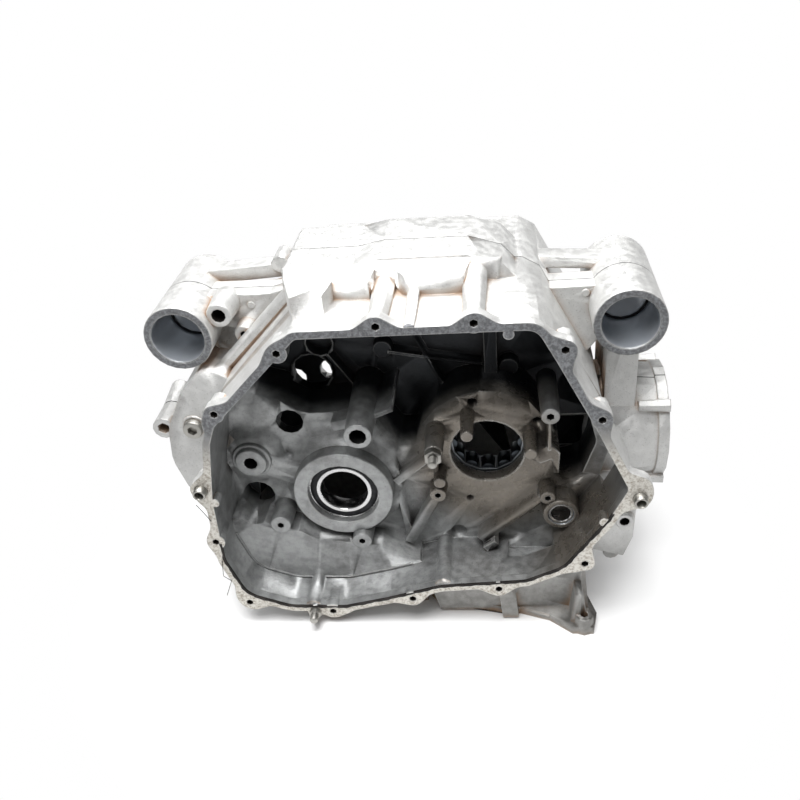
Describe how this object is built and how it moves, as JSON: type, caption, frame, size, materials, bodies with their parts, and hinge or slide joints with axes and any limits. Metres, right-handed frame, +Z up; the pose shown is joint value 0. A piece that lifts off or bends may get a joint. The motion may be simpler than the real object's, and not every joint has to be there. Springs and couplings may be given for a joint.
{
  "type": "engine crankcase",
  "caption": "Bare cast engine crankcase, both halves joined, with shaft bearings, dowel sleeves and studs left in it.",
  "frame": {"origin": "middle of the overall width and depth, on the plane it stands on", "axes": "+X to the right as the open side is faced, +Y from the front cover face to the rear, +Z up"},
  "size_m": [0.4586, 0.218, 0.3215],
  "materials": {
    "cast_alloy": "rough cast, machined rims, oil stained",
    "bearing_steel": "ground, oiled",
    "cage_polymer": "matt black",
    "cage_steel": "dull, oiled",
    "fastener_steel": "dull zinc, worn"
  },
  "bodies": {
    "case": {"front_case": "cast_alloy", "rear_case": "cast_alloy", "ball_bearing_outer_ring": "bearing_steel", "roller_bearing_outer_ring": "bearing_steel", "dowel_sleeve_left": "bearing_steel", "dowel_sleeve_right": "bearing_steel", "cover_stud": "fastener_steel", "socket_plug": "fastener_steel", "adjuster_stud": "fastener_steel", "adjuster_nut": "fastener_steel", "shaft_bush": "bearing_steel", "case_bolt_1": "fastener_steel", "case_bolt_2": "fastener_steel", "case_bolt_3": "fastener_steel"},
    "bearing_inner": {"ball_bearing_inner_ring": "bearing_steel"},
    "ball_cage": {"ball_bearing_cage": "cage_polymer", "bearing_ball_01": "bearing_steel", "bearing_ball_02": "bearing_steel", "bearing_ball_03": "bearing_steel", "bearing_ball_04": "bearing_steel", "bearing_ball_05": "bearing_steel", "bearing_ball_06": "bearing_steel", "bearing_ball_07": "bearing_steel", "bearing_ball_08": "bearing_steel", "bearing_ball_09": "bearing_steel"},
    "roller_cage": {"roller_bearing_cage": "cage_steel", "crank_roller_01": "bearing_steel", "crank_roller_02": "bearing_steel", "crank_roller_03": "bearing_steel", "crank_roller_04": "bearing_steel", "crank_roller_05": "bearing_steel", "crank_roller_06": "bearing_steel", "crank_roller_07": "bearing_steel", "crank_roller_08": "bearing_steel", "crank_roller_09": "bearing_steel", "crank_roller_10": "bearing_steel", "crank_roller_11": "bearing_steel", "crank_roller_12": "bearing_steel", "crank_roller_13": "bearing_steel"}
  },
  "joints": [
    {"name": "inner_ring_turn", "type": "hinge", "parent": "case", "child": "bearing_inner", "pos_m": [-0.0517, -0.0425, 0.1172], "axis": [0, 1, 0], "continuous": true},
    {"name": "ball_cage_turn", "type": "hinge", "parent": "case", "child": "ball_cage", "pos_m": [-0.0517, -0.0425, 0.1172], "axis": [0, 1, 0], "continuous": true},
    {"name": "roller_cage_turn", "type": "hinge", "parent": "case", "child": "roller_cage", "pos_m": [0.0746, -0.0105, 0.1463], "axis": [0, 1, 0], "continuous": true}
  ],
  "couplings": [
    {"joint": "ball_cage_turn", "follows": "inner_ring_turn", "ratio": 0.415}
  ]
}
